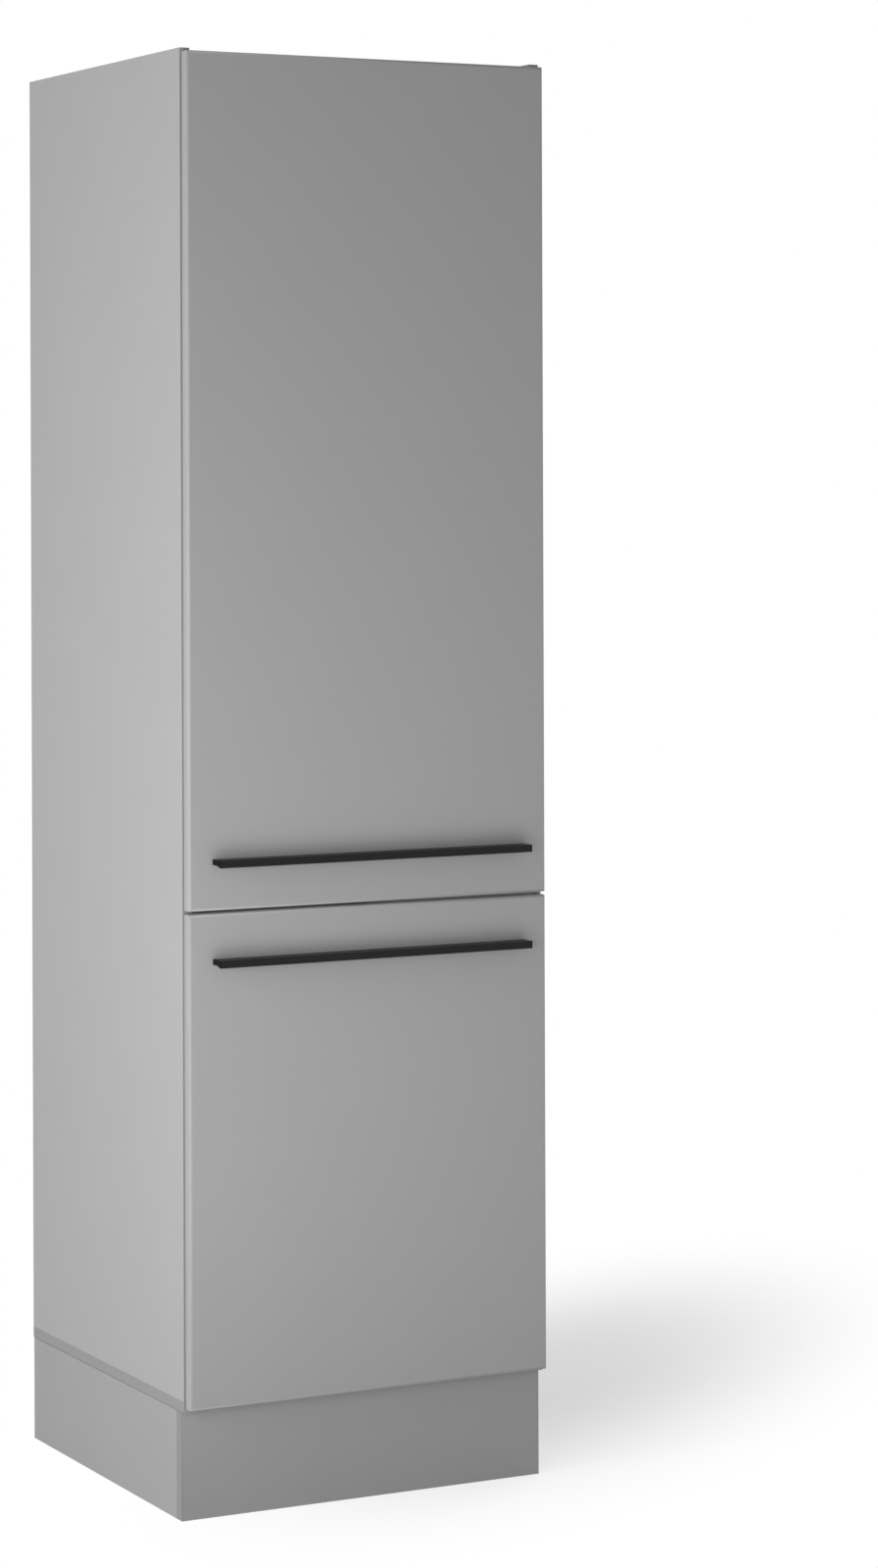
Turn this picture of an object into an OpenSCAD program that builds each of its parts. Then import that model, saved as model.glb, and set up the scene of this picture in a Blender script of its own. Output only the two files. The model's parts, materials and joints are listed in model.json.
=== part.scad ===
// Tall fridge housing: carcase on adjustable feet, plinth, two hinged doors with bar handles.
// Millimetres. X is the width, Y the depth with the doors at -Y, Z is up from the floor.
// The origin is on the floor, under the middle of the whole unit.

/* [Carcase] */
// Width of the carcase over its sides
unit_w = 600; // [560:10:700]
// Height of the carcase from its underside to the top of its sides
carcase_h = 1984; // [1950:2:2200]
// Depth of the carcase with its front edge band
carcase_d = 566; // [500:2:640]
// Thickness of the carcase boards
board_t = 16; // [15:0.5:19]
// Thickness of every edge band
band_t = 1; // [0.4:0.1:1.5]
// Clear height of the fridge niche
niche_h = 1780; // [1700:2:1790]
// How far the top panel lies below the tops of the sides
top_drop = 6; // [0:1:12]
// How far the shelf and the top panel stand back from the carcase front
shelf_setback = 4; // [2:1:20]
// Thickness of the back of the top compartment
back_t = 3; // [2.5:0.5:6]
// Depth of the air way behind the shelf and through the bottom
air_d = 50; // [36:1:70]
// Width of the air way through the bottom panel
air_w = 460; // [300:10:480]
// Height of the rear rails
rail_h = 100; // [80:2:120]

/* [Wall fixing] */
// Distance between the two wall bolts in the top rail
wall_bolt_gap = 400; // [200:10:420]
// Diameter of the wall bolt holes
wall_bolt_d = 8; // [6:0.5:10]

/* [Plinth] */
// Height of the carcase above the floor
plinth_h = 160; // [150:1:200]
// Thickness of the plinth boards
plinth_t = 18; // [15:0.5:19]
// How far the plinth front stands back from the carcase front
plinth_setback = 10; // [4:1:30]
// How far the plinth stands in from each side of the carcase
plinth_inset = 1; // [0:0.5:4]
// Gap between the plinth and the carcase
plinth_gap = 1; // [0.5:0.5:3]

/* [Doors] */
// Thickness of the doors
door_t = 16; // [16:0.5:19]
// Gap between the carcase front and the backs of the doors
door_gap = 2.5; // [2.5:0.1:4]
// Reveal at each side of the doors
side_reveal = 2; // [1.5:0.25:3]
// Reveal below the lower door
foot_reveal = 5; // [2:0.5:8]
// Reveal above the upper door
head_reveal = 5; // [2:0.5:8]
// Gap between the two doors
door_split = 4; // [3:0.5:6]
// Height of the lower door
lower_door_h = 720; // [600:4:900]
// Rounding of the front edges of the doors
door_edge_r = 5; // [1:0.5:6]
// Rounding of the corners of the doors, seen from the front
door_corner_r = 3; // [0.5:0.5:6]

/* [Handles] */
// Length of the handles over their end caps
handle_l = 520; // [360:10:540]
// How far the handles stand out from the doors
handle_out = 26; // [22:1:40]
// Height of the front lip of the handles
handle_lip_h = 11; // [9:0.5:20]
// Height of the handles where they meet the door
handle_base_h = 8; // [8:0.5:9]
// Wall of the handle section
handle_wall = 2.5; // [2:0.1:3]
// Thickness of the end caps
cap_t = 2; // [1:0.25:4]
// Distance of the screws of a handle from its ends
handle_screw_in = 20; // [12:1:60]
// Screw line above the lower edge of the upper door
upper_handle_in = 70; // [40:1:200]
// Screw line below the upper edge of the lower door
lower_handle_in = 71; // [40:1:200]
// Diameter of the handle screws
handle_screw_d = 4; // [3.5:0.5:4]

/* [Hinges] */
// Diameter of the hinge cup
cup_d = 35; // [35:1:36]
// Depth of the hinge cup in the door
cup_depth = 12; // [12:0.25:12.5]
// Wood left between the cup and the edge of the door
cup_edge = 3; // [3:0.25:4]
// Distance of the end hinges from the ends of their door
hinge_end = 100; // [70:5:140]
// Diameter of the hinge pins
pin_d = 3; // [2.6:0.1:3]
// Radial clearance of a pin in the hinge arm
pin_clear = 0.05; // [0.02:0.01:0.09]

/* [Feet] */
// Distance of the feet from the sides of the carcase
foot_in_x = 75; // [70:1:110]
// Distance of the front feet from the front of the carcase
foot_in_y = 75; // [70:1:140]
// Distance of the rear leg plates from the air way
foot_air_gap = 8; // [2:1:60]
// Diameter of the foot pads
pad_d = 56; // [45:1:64]
// Diameter of the leg tubes
tube_d = 32; // [28:1:38]
// Diameter of the threaded stem of a foot
stem_d = 14; // [12:1:16]
// Radial clearance of the stem in the leg
stem_clear = 0.06; // [0.02:0.01:0.09]
// How far a foot can be screwed in
foot_up = 8; // [4:1:10]
// How far a foot can be screwed out
foot_down = 20; // [5:1:25]

/* [Hidden] */
$fn = 48;
eps = 0.5;          // overshoot of cutting tools
fit = 0.1;          // clearance of parts that are pushed or screwed home
fit_fine = 0.02;    // clearance of pins and shanks in their seats

// A tool that cuts with a clearance starts a little outside the surface, a real piece doesn't
function over(clear) = clear > 0 ? eps : 0;

// Places along the depth, from the handles at the front to the back of the carcase
total_d = handle_out + door_t + door_gap + carcase_d;
y_back = total_d / 2;
y_front = y_back - carcase_d;
y_door_back = y_front - door_gap;
y_door = y_door_back - door_t;

// Places across the width
x_out = unit_w / 2;
x_in = x_out - board_t;
x_door = x_out - side_reveal;

// Places up the height
z_floor = plinth_h + board_t;
z_top = plinth_h + carcase_h;
z_shelf = z_floor + niche_h;
z_lid = z_top - top_drop - board_t;
z_lower = plinth_h + foot_reveal;
z_lower_top = z_lower + lower_door_h;
z_upper = z_lower_top + door_split;
upper_door_h = z_top - head_reveal - z_upper;

// Rear edge of the shelf and the top panel, and the front face of the rails. The middle rail
// lies behind the gap between the doors.
y_air = y_back - air_d;
y_rail = y_back - board_t;
z_rails = [z_floor, z_lower_top - rail_h, z_top - top_drop - rail_h];

// Dowels hold the rails, cam locks hold the shelf and the top panel
dowel_d = 8;
dowel_l = 30;
dowel_in_side = 10;
dowel_inset = 25;
cam_d = 15;
cam_h = 12;
cam_in = 34;
cam_bolt_d = 7;
cam_inset_front = 60;
cam_inset_rear = 40;
cam_ys = [y_front + shelf_setback + cam_inset_front, y_air - cam_inset_rear];
panel_zs = [z_shelf, z_lid];

// Screws up through the bottom panel into the sides
base_screw_d = 5;
base_screw_l = 50;
base_head_d = 9;
base_head_h = 4;
base_screw_end = 60;
base_screw_ys = [y_front + base_screw_end, (y_front + y_back) / 2, y_back - base_screw_end];

// Handle section: the underside slopes down from the base to the lip
handle_base_w = 14;
handle_top_r = 1;
boss_d = 7;
boss_l = 9;
screw_below_top = 5;
handle_screw_gap = handle_l - 2 * handle_screw_in;
z_upper_handle = z_upper + upper_handle_in + screw_below_top;
z_lower_handle = z_lower_top - lower_handle_in + screw_below_top;
handle_head_d = 8;
handle_head_h = 2;

// Hinge: the pin lies inside the cup, near the edge of the door
pivot_in = 6.5;
pivot_deep = 9;
pivot_x = x_door - pivot_in;
pivot_y = y_door_back - pivot_deep;
cup_x = x_door - cup_edge - cup_d / 2;
cup_wall = 0.8;
cup_base = 0.6;
flange_t = 1.2;
barrel_d = 4.2;
barrel_l = 7;
ear_l = 3.7;
ear_gap = 0.3;
ear_w = 5;
pin_l = barrel_l + 2 * (ear_gap + ear_l);
cup_screw_gap = 45;
cup_screw_in = 9.5;
cup_screw_d = 3.5;
cup_screw_l = 10;
cup_head_d = 7;
cup_head_h = 1;
flange_end_d = 10;
hinge_bore_extra = 0.5;

// Hinge arm: a link in the cup, a neck out of it and a channel over the mounting plate
neck_reach = 12.5;
neck_t = 2.4;
neck_x = pivot_x - neck_reach;
arm_start = 8;
arm_l = 62;
arm_w = 22;
arm_web = 3;
arm_side = 7;
arm_wall = 2.8;
block_t = 8;
block_l = 50;
block_start = 12;
wing_t = 3;
wing_h = 50;
wing_l = 14;
plate_line = 37;
plate_screw_gap = 32;
plate_screw_d = 5;
plate_screw_l = 12;
plate_head_d = 8;
plate_head_h = 1.5;
arm_screw_d = 4;
arm_screw_l = 8;
arm_head_d = 7;
arm_head_h = 1.6;
arm_screw_ys = [25, 50];
x_block = x_in - block_t;

upper_hinge_zs = [z_upper + hinge_end, z_upper + upper_door_h / 2, z_upper + upper_door_h - hinge_end];
lower_hinge_zs = [z_lower + hinge_end, z_lower + lower_door_h - hinge_end];
hinge_zs = concat(lower_hinge_zs, upper_hinge_zs);

// Soft stops on the doors, against the front of the left side
bumper_d = 8;
bumper_t = door_gap - 0.3;
bumper_end = 30;

// Legs: a plate and socket under the bottom panel, a tube, and a foot that screws in and out
leg_plate_w = 64;
leg_plate_t = 4;
collar_d = tube_d + 10;
collar_h = 22;
pad_h = 6;
nut_d = 24;
nut_h = 14;
nut_gap = 2;        // left between the hexagon and the tube when a foot is screwed right in
stem_grip = 28;     // stem left in the tube when a foot is screwed right out
bore_spare = 4;     // depth of the bore beyond the stem when a foot is screwed right in
tube_z = pad_h + nut_h + foot_up + nut_gap;
stem_l = tube_z - pad_h + foot_down + stem_grip;
bore_h = pad_h + stem_l + foot_up - tube_z + bore_spare;
leg_screw_gap = 48;
leg_screw_d = 4;
leg_screw_l = 13;
leg_head_d = 8;
leg_head_h = 2;
leg_x = x_out - foot_in_x;
leg_ys = [y_front + foot_in_y, y_air - foot_air_gap - leg_plate_w / 2];

// Clips on the front legs hold the plinth
clip_wall = 3;
clip_h = 20;
clip_z = 90;
clip_w = 24;
clip_pad_w = 50;
clip_pad_h = 30;
clip_pad_t = 3;
y_plinth = y_front + plinth_setback;
x_plinth = x_out - plinth_inset;
plinth_top = plinth_h - plinth_gap;

// Colours as they look
c_side = "#b9b9b9";
c_door = "#a3a3a3";
c_end = "#a6a6a6";
c_plinth = "#a8a8a8";
c_black = "#222222";
c_front = "#8a8a8a";
c_steel = "#c9c9c6";
c_dark = "#333333";
c_rubber = "#dedede";
c_wood = "#c9a877";

// A cylinder along +X
module rod_x(d, l) { rotate([0, 90, 0]) cylinder(d = d, h = l); }

// A cylinder along +Y
module rod_y(d, l) { rotate([-90, 0, 0]) cylinder(d = d, h = l); }

// A block given by its lowest and its highest corner
module block(low, high) { translate(low) cube(high - low); }

// Whatever is drawn, once on the left and once on the right
module both_sides() {
    children();
    mirror([1, 0, 0]) children();
}

// Holes or shanks of the cam bolts, from the side panel to the cam
module cam_bolts_at(z, clear) {
    both_sides() for (y = cam_ys)
        translate([x_in - cam_in - clear, y, z + board_t / 2])
            rod_x(cam_bolt_d + 2 * clear, cam_in + dowel_in_side + 2 * clear);
}

module cam_disc(z, clear) {
    both_sides() for (y = cam_ys)
        translate([x_in - cam_in, y, z - over(clear)])
            cylinder(d = cam_d + 2 * clear, h = cam_h + clear + over(clear));
}

// Each cam lock is turned in its pocket and grips the end of its bolt
module cam_locks() {
    difference() {
        for (z = panel_zs) cam_disc(z, 0);
        for (z = panel_zs) cam_bolts_at(z, fit_fine);
    }
}

module cam_bolts() { for (z = panel_zs) cam_bolts_at(z, 0); }

// Two dowels at each end of a rail
module dowels_at(z, clear) {
    both_sides() for (dz = [dowel_inset, rail_h - dowel_inset])
        translate([x_in + dowel_in_side - dowel_l - clear, y_back - board_t / 2, z + dz])
            rod_x(dowel_d + 2 * clear, dowel_l + 2 * clear);
}

// One screw up through the bottom panel
module base_screw(clear) {
    translate([0, 0, -over(clear)])
        cylinder(d = base_head_d + 2 * clear, h = base_head_h + clear + over(clear));
    cylinder(d = base_screw_d + 2 * clear, h = base_screw_l + clear);
}

module base_screws_at(clear) {
    both_sides() for (y = base_screw_ys)
        translate([x_out - board_t / 2, y, plinth_h]) base_screw(clear);
}

module side_panel() {
    difference() {
        block([x_in, y_front + band_t, z_floor], [x_out, y_back, z_top]);
        for (z = panel_zs) cam_bolts_at(z, fit_fine);
        for (z = z_rails) dowels_at(z, fit_fine);
        base_screws_at(fit_fine);
    }
}

module side_panel_left() { color(c_side) mirror([1, 0, 0]) side_panel(); }

module side_panel_right() {
    color(c_side) difference() {
        side_panel();
        plate_screws_all(fit_fine);
    }
}

module bottom_panel() {
    color(c_side) difference() {
        block([-x_out + band_t, y_front + band_t, plinth_h], [x_out - band_t, y_back, z_floor]);
        block([-air_w / 2, y_air, plinth_h - eps], [air_w / 2, y_back + eps, z_floor + eps]);
        base_screws_at(fit_fine);
        leg_screws_all(fit_fine);
    }
}

// A board between the sides, held by cam locks
module inner_board(z) {
    difference() {
        block([-x_in, y_front + shelf_setback + band_t, z], [x_in, y_air, z + board_t]);
        cam_disc(z, fit);
        cam_bolts_at(z, fit_fine);
    }
}

module top_panel() { color(c_side) inner_board(z_lid); }
module niche_shelf() { color(c_side) inner_board(z_shelf); }

module back_panel() {
    color(c_side) block([-x_in + fit, y_air, z_shelf], [x_in - fit, y_air + back_t, z_lid + board_t]);
}

module rear_rail(z) {
    difference() {
        block([-x_in, y_rail, z], [x_in, y_back, z + rail_h]);
        dowels_at(z, fit_fine);
    }
}

module rear_rail_bottom() { color(c_side) rear_rail(z_rails[0]); }
module rear_rail_middle() { color(c_side) rear_rail(z_rails[1]); }

module rear_rail_top() {
    color(c_side) difference() {
        rear_rail(z_rails[2]);
        for (x = [-wall_bolt_gap / 2, wall_bolt_gap / 2])
            translate([x, y_rail - eps, z_rails[2] + rail_h / 2]) rod_y(wall_bolt_d, board_t + 2 * eps);
    }
}

module side_band(side) {
    color(c_front) mirror([side < 0 ? 1 : 0, 0, 0])
        block([x_in, y_front, z_floor], [x_out, y_front + band_t, z_top]);
}

module bottom_band_front() {
    color(c_front) block([-x_out, y_front, plinth_h], [x_out, y_front + band_t, z_floor]);
}

module bottom_band(side) {
    color(c_end) mirror([side < 0 ? 1 : 0, 0, 0])
        block([x_out - band_t, y_front + band_t, plinth_h], [x_out, y_back, z_floor]);
}

module inner_band(z) {
    color(c_front) block([-x_in, y_front + shelf_setback, z],
                         [x_in, y_front + shelf_setback + band_t, z + board_t]);
}

module plinth_front() {
    color(c_plinth) block([-x_plinth + band_t, y_plinth, 0],
                          [x_plinth - band_t, y_plinth + plinth_t, plinth_top]);
}

module plinth_band(side) {
    color(c_end) mirror([side < 0 ? 1 : 0, 0, 0])
        block([x_plinth - band_t, y_plinth, 0], [x_plinth, y_plinth + plinth_t, plinth_top]);
}

module plinth_return(side) {
    color(c_plinth) mirror([side < 0 ? 1 : 0, 0, 0])
        block([x_plinth - plinth_t, y_plinth + plinth_t, 0], [x_plinth, y_back, plinth_top]);
}

// A clip round a front leg, with a pad on the back of the plinth
module plinth_clip(side) {
    y_pad = y_plinth + plinth_t;
    ring_d = tube_d + 2 * fit + 2 * clip_wall;
    color(c_dark) mirror([side < 0 ? 1 : 0, 0, 0]) translate([leg_x, 0, clip_z]) {
        difference() {
            union() {
                translate([0, leg_ys[0], 0]) cylinder(d = ring_d, h = clip_h);
                block([-clip_w / 2, y_pad, 0], [clip_w / 2, leg_ys[0], clip_h]);
            }
            translate([0, leg_ys[0], -eps]) cylinder(d = tube_d + 2 * fit, h = clip_h + 2 * eps);
            block([-clip_w / 2, leg_ys[0], -eps], [clip_w / 2, leg_ys[0] + ring_d, clip_h + eps]);
        }
        block([-clip_pad_w / 2, y_pad, (clip_h - clip_pad_h) / 2],
              [clip_pad_w / 2, y_pad + clip_pad_t, (clip_h + clip_pad_h) / 2]);
    }
}

// The screws of one leg plate, heads down
module leg_screws_of(clear) {
    for (x = [-1, 1], y = [-1, 1])
        translate([x * leg_screw_gap / 2, y * leg_screw_gap / 2, plinth_h - leg_plate_t]) {
            translate([0, 0, -over(clear)])
                cylinder(d = leg_screw_d + 2 * clear, h = leg_screw_l + clear + over(clear));
            if (clear == 0) translate([0, 0, -leg_head_h]) cylinder(d = leg_head_d, h = leg_head_h);
        }
}

module leg_screws_all(clear) {
    for (x = [-leg_x, leg_x], y = leg_ys) translate([x, y, 0]) leg_screws_of(clear);
}

module leg(x, y) {
    color(c_dark) translate([x, y, 0]) difference() {
        union() {
            translate([-leg_plate_w / 2, -leg_plate_w / 2, plinth_h - leg_plate_t])
                cube([leg_plate_w, leg_plate_w, leg_plate_t]);
            translate([0, 0, plinth_h - collar_h]) cylinder(d = collar_d, h = collar_h);
            translate([0, 0, tube_z]) cylinder(d = tube_d, h = plinth_h - tube_z);
        }
        translate([0, 0, tube_z - eps]) cylinder(d = stem_d + 2 * stem_clear, h = bore_h + eps);
        leg_screws_of(fit_fine);
    }
}

// A foot that screws in the leg: pad, hexagon and stem
module foot(x, y) {
    color(c_dark) translate([x, y, 0]) {
        cylinder(d = pad_d, h = pad_h);
        cylinder(d = nut_d, h = pad_h + nut_h, $fn = 6);
        cylinder(d = stem_d, h = pad_h + stem_l);
    }
}

// A slab with its front edges rounded, lying with its front at y = 0
module rounded_slab(w, t, h, r, corner) {
    intersection() {
        translate([0, 0, -h / 2]) linear_extrude(h) rounded_edge(w, t, r);
        rotate([0, 90, 0]) translate([0, 0, -w / 2]) linear_extrude(w) rounded_edge(h, t, r);
        rotate([90, 0, 0]) translate([0, 0, -t]) linear_extrude(t) rounded_face(w, h, corner);
    }
}

module rounded_edge(w, t, r) {
    translate([-w / 2, r]) square([w, t - r]);
    translate([-w / 2 + r, 0]) square([w - 2 * r, t]);
    for (x = [-1, 1]) translate([x * (w / 2 - r), r]) circle(r);
}

module rounded_face(w, h, r) {
    square([w, h - 2 * r], center = true);
    square([w - 2 * r, h], center = true);
    for (x = [-1, 1], y = [-1, 1]) translate([x * (w / 2 - r), y * (h / 2 - r)]) circle(r);
}

// A door from z upwards, bored for its hinges and its handle
module door(z, h, hinges, handle_z) {
    difference() {
        translate([0, y_door, z + h / 2])
            rounded_slab(2 * x_door, door_t, h, door_edge_r, door_corner_r);
        for (hz = hinges) at_cup(hz) {
            translate([0, 0, -eps]) cylinder(d = cup_d, h = cup_depth + hinge_bore_extra + eps);
            cup_screws_local(fit_fine);
        }
        for (x = [-1, 1])
            translate([x * handle_screw_gap / 2, y_door - eps, handle_z - screw_below_top])
                rod_y(handle_screw_d + 2 * fit, door_t + 2 * eps);
    }
}

module upper_door() { color(c_door) door(z_upper, upper_door_h, upper_hinge_zs, z_upper_handle); }
module lower_door() { color(c_door) door(z_lower, lower_door_h, lower_hinge_zs, z_lower_handle); }

// Outline of a handle: x is the distance out from the door, y the height below its top
module handle_outline() {
    difference() {
        polygon([[0, 0], [handle_out, 0], [handle_out, -handle_lip_h],
                 [handle_base_w, -handle_base_h], [0, -handle_base_h]]);
        translate([handle_out - handle_top_r, -handle_top_r]) difference() {
            square(handle_top_r + eps);
            circle(handle_top_r);
        }
    }
}

// The finger channel that is open underneath
module handle_channel() {
    translate([handle_wall, -handle_lip_h - eps])
        square([handle_out - 2 * handle_wall, handle_lip_h + eps - handle_wall]);
}

// Stands an outline up across the handle, with its top at the height z
module along_handle(z, x, l) {
    translate([x, y_door, z]) rotate([90, 0, -90]) mirror([0, 0, 1]) linear_extrude(l) children();
}

module handle(z) {
    bar_l = handle_l - 2 * cap_t;
    difference() {
        union() {
            along_handle(z, -bar_l / 2, bar_l) difference() {
                handle_outline();
                handle_channel();
            }
            for (x = [-1, 1])
                translate([x * handle_screw_gap / 2, y_door - boss_l, z - screw_below_top])
                    intersection() {
                        rod_y(boss_d, boss_l);
                        translate([-boss_d, 0, -handle_base_h + screw_below_top])
                            cube([2 * boss_d, boss_l, handle_base_h]);
                    }
        }
        for (x = [-1, 1])
            translate([x * handle_screw_gap / 2, y_door - boss_l + 1, z - screw_below_top])
                rod_y(handle_screw_d + 2 * fit_fine, boss_l);
    }
}

module handle_caps(z) {
    for (x = [-handle_l / 2, handle_l / 2 - cap_t]) along_handle(z, x, cap_t) handle_outline();
}

module handle_screws(z) {
    for (x = [-1, 1])
        translate([x * handle_screw_gap / 2, y_door_back, z - screw_below_top]) {
            rod_y(handle_head_d, handle_head_h);
            translate([0, -door_t - boss_l + 1.5, 0]) rod_y(handle_screw_d, door_t + boss_l);
        }
}

module bumpers(z, h) {
    for (dz = [bumper_end, h - bumper_end])
        translate([-x_out + board_t / 2, y_door_back, z + dz]) rod_y(bumper_d, bumper_t);
}

// Moves to a cup: z points into the door, x to the hinge edge
module at_cup(z) { translate([cup_x, y_door_back, z]) rotate([90, 0, 0]) children(); }

module cup_screws_local(clear) {
    for (y = [-1, 1]) translate([-cup_screw_in, y * cup_screw_gap / 2, 0]) {
        translate([0, 0, -flange_t - over(clear)])
            cylinder(d = cup_screw_d + 2 * clear, h = cup_screw_l + flange_t + clear + over(clear));
        if (clear == 0) translate([0, 0, -flange_t - cup_head_h]) cylinder(d = cup_head_d, h = cup_head_h);
    }
}

module hinge_cup(z) {
    pin_x = pivot_x - cup_x;
    at_cup(z) difference() {
        union() {
            difference() {
                union() {
                    cylinder(d = cup_d - 2 * fit, h = cup_depth);
                    translate([0, 0, -flange_t]) {
                        cylinder(d = cup_d, h = flange_t);
                        translate([-cup_screw_in - flange_end_d / 2, -cup_screw_gap / 2, 0])
                            cube([flange_end_d, cup_screw_gap, flange_t]);
                        for (y = [-1, 1]) translate([-cup_screw_in, y * cup_screw_gap / 2, 0])
                            cylinder(d = flange_end_d, h = flange_t);
                    }
                }
                translate([0, 0, -flange_t - eps])
                    cylinder(d = cup_d - 2 * fit - 2 * cup_wall, h = flange_t + cup_depth - cup_base + eps);
            }
            intersection() {
                cylinder(d = cup_d - 2 * fit, h = cup_depth);
                for (y = [barrel_l / 2 + ear_gap, -barrel_l / 2 - ear_gap - ear_l])
                    translate([pin_x - ear_w / 2, y, pivot_deep - ear_w / 2])
                        cube([ear_w + 2, ear_l, cup_depth]);
            }
        }
        translate([pin_x, 0, pivot_deep]) rotate([90, 0, 0])
            cylinder(d = pin_d + 2 * fit_fine, h = pin_l + 2 * fit_fine, center = true);
        cup_screws_local(fit_fine);
    }
}

module hinge_pin(z) { translate([pivot_x, pivot_y, z - pin_l / 2]) cylinder(d = pin_d, h = pin_l); }

module hinge_arm(z) {
    y_arm = y_front + arm_start;
    translate([0, 0, z]) color(c_steel) difference() {
        union() {
            translate([pivot_x, pivot_y, -barrel_l / 2]) cylinder(d = barrel_d, h = barrel_l);
            block([neck_x - neck_t / 2, pivot_y - neck_t / 2, -barrel_l / 2],
                  [pivot_x, pivot_y + neck_t / 2, barrel_l / 2]);
            block([neck_x - neck_t / 2, pivot_y - neck_t / 2, -barrel_l / 2],
                  [neck_x + neck_t / 2, y_arm, barrel_l / 2]);
            block([x_block - arm_web, y_arm - neck_t, -barrel_l / 2],
                  [neck_x + neck_t / 2, y_arm + neck_t, barrel_l / 2]);
            block([x_block - arm_web, y_arm, -arm_w / 2],
                  [x_block - arm_web + arm_side, y_arm + arm_l, arm_w / 2]);
        }
        block([x_block, y_front + block_start - fit, -arm_w / 2 + arm_wall],
              [x_in, y_arm + arm_l + eps, arm_w / 2 - arm_wall]);
        translate([pivot_x, pivot_y, -barrel_l]) cylinder(d = pin_d + 2 * pin_clear, h = 2 * barrel_l);
        arm_screws_local(fit_fine);
    }
}

module arm_screws_local(clear) {
    for (y = arm_screw_ys)
        translate([x_block - arm_web, y_front + y, 0]) {
            translate([-over(clear), 0, 0])
                rod_x(arm_screw_d + 2 * clear, arm_screw_l + clear + over(clear));
            if (clear == 0) translate([-arm_head_h, 0, 0]) rod_x(arm_head_d, arm_head_h);
        }
}

module plate_screws_local(clear) {
    for (s = [-1, 1])
        translate([x_in - wing_t, y_front + plate_line, s * plate_screw_gap / 2]) {
            translate([-over(clear), 0, 0])
                rod_x(plate_screw_d + 2 * clear, plate_screw_l + wing_t + clear + over(clear));
            if (clear == 0) translate([-plate_head_h, 0, 0]) rod_x(plate_head_d, plate_head_h);
        }
}

module plate_screws_all(clear) { for (z = hinge_zs) translate([0, 0, z]) plate_screws_local(clear); }

module hinge_plate() {
    y0 = y_front + block_start;
    difference() {
        union() {
            block([x_block, y0, -arm_w / 2 + arm_wall + fit],
                  [x_in, y0 + block_l, arm_w / 2 - arm_wall - fit]);
            block([x_in - wing_t, y_front + plate_line - wing_l / 2, -wing_h / 2],
                  [x_in, y_front + plate_line + wing_l / 2, wing_h / 2]);
        }
        plate_screws_local(fit_fine);
        arm_screws_local(fit_fine);
    }
}

side_panel_left();
side_panel_right();
bottom_panel();
top_panel();
niche_shelf();
back_panel();
rear_rail_bottom();
rear_rail_middle();
rear_rail_top();
side_band(-1);  // side_band_left
side_band(1);  // side_band_right
bottom_band_front();
bottom_band(-1);  // bottom_band_left
bottom_band(1);  // bottom_band_right
inner_band(z_shelf);  // shelf_band
inner_band(z_lid);  // top_band
plinth_front();
plinth_return(-1);  // plinth_return_left
plinth_return(1);  // plinth_return_right
plinth_band(-1);  // plinth_band_left
plinth_band(1);  // plinth_band_right
plinth_clip(-1);  // plinth_clip_left
plinth_clip(1);  // plinth_clip_right
leg(-leg_x, leg_ys[0]);  // leg_front_left
leg(leg_x, leg_ys[0]);  // leg_front_right
leg(-leg_x, leg_ys[1]);  // leg_back_left
leg(leg_x, leg_ys[1]);  // leg_back_right
foot(-leg_x, leg_ys[0]);  // foot_front_left
foot(leg_x, leg_ys[0]);  // foot_front_right
foot(-leg_x, leg_ys[1]);  // foot_back_left
foot(leg_x, leg_ys[1]);  // foot_back_right
color(c_steel) leg_screws_all(0);  // leg_screws
color(c_steel) base_screws_at(0);  // base_screws
color(c_steel) cam_locks();
color(c_steel) cam_bolts();
color(c_wood) for (z = z_rails) dowels_at(z, 0);  // rail_dowels
upper_door();
color(c_black) handle(z_upper_handle);  // upper_handle
color(c_black) handle_caps(z_upper_handle);  // upper_handle_caps
color(c_steel) handle_screws(z_upper_handle);  // upper_handle_screws
color(c_rubber) bumpers(z_upper, upper_door_h);  // upper_bumpers
lower_door();
color(c_black) handle(z_lower_handle);  // lower_handle
color(c_black) handle_caps(z_lower_handle);  // lower_handle_caps
color(c_steel) handle_screws(z_lower_handle);  // lower_handle_screws
color(c_rubber) bumpers(z_lower, lower_door_h);  // lower_bumpers
color(c_steel) for (z = upper_hinge_zs) hinge_cup(z);  // upper_hinge_cups
color(c_steel) for (z = upper_hinge_zs) hinge_pin(z);  // upper_hinge_pins
color(c_steel)  // upper_cup_screws
    for (z = upper_hinge_zs) at_cup(z) cup_screws_local(0);
color(c_steel) for (z = lower_hinge_zs) hinge_cup(z);  // lower_hinge_cups
color(c_steel) for (z = lower_hinge_zs) hinge_pin(z);  // lower_hinge_pins
color(c_steel)  // lower_cup_screws
    for (z = lower_hinge_zs) at_cup(z) cup_screws_local(0);
hinge_arm(hinge_zs[0]);  // hinge_arm_1
hinge_arm(hinge_zs[1]);  // hinge_arm_2
hinge_arm(hinge_zs[2]);  // hinge_arm_3
hinge_arm(hinge_zs[3]);  // hinge_arm_4
hinge_arm(hinge_zs[4]);  // hinge_arm_5
color(c_steel)  // hinge_plates
    for (z = hinge_zs) translate([0, 0, z]) hinge_plate();
color(c_steel) plate_screws_all(0);  // plate_screws
color(c_steel)  // arm_screws
    for (z = hinge_zs) translate([0, 0, z]) arm_screws_local(0);
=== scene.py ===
"""Looks of a tall fridge housing: boards, doors, handles, hinges, legs, light and camera.

In metres, +Z up, doors at -Y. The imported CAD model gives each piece's place and outer size.
"""
import json
from math import cos, pi, radians, sin, tau

import bmesh
import bpy
from mathutils import Matrix, Vector


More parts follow.
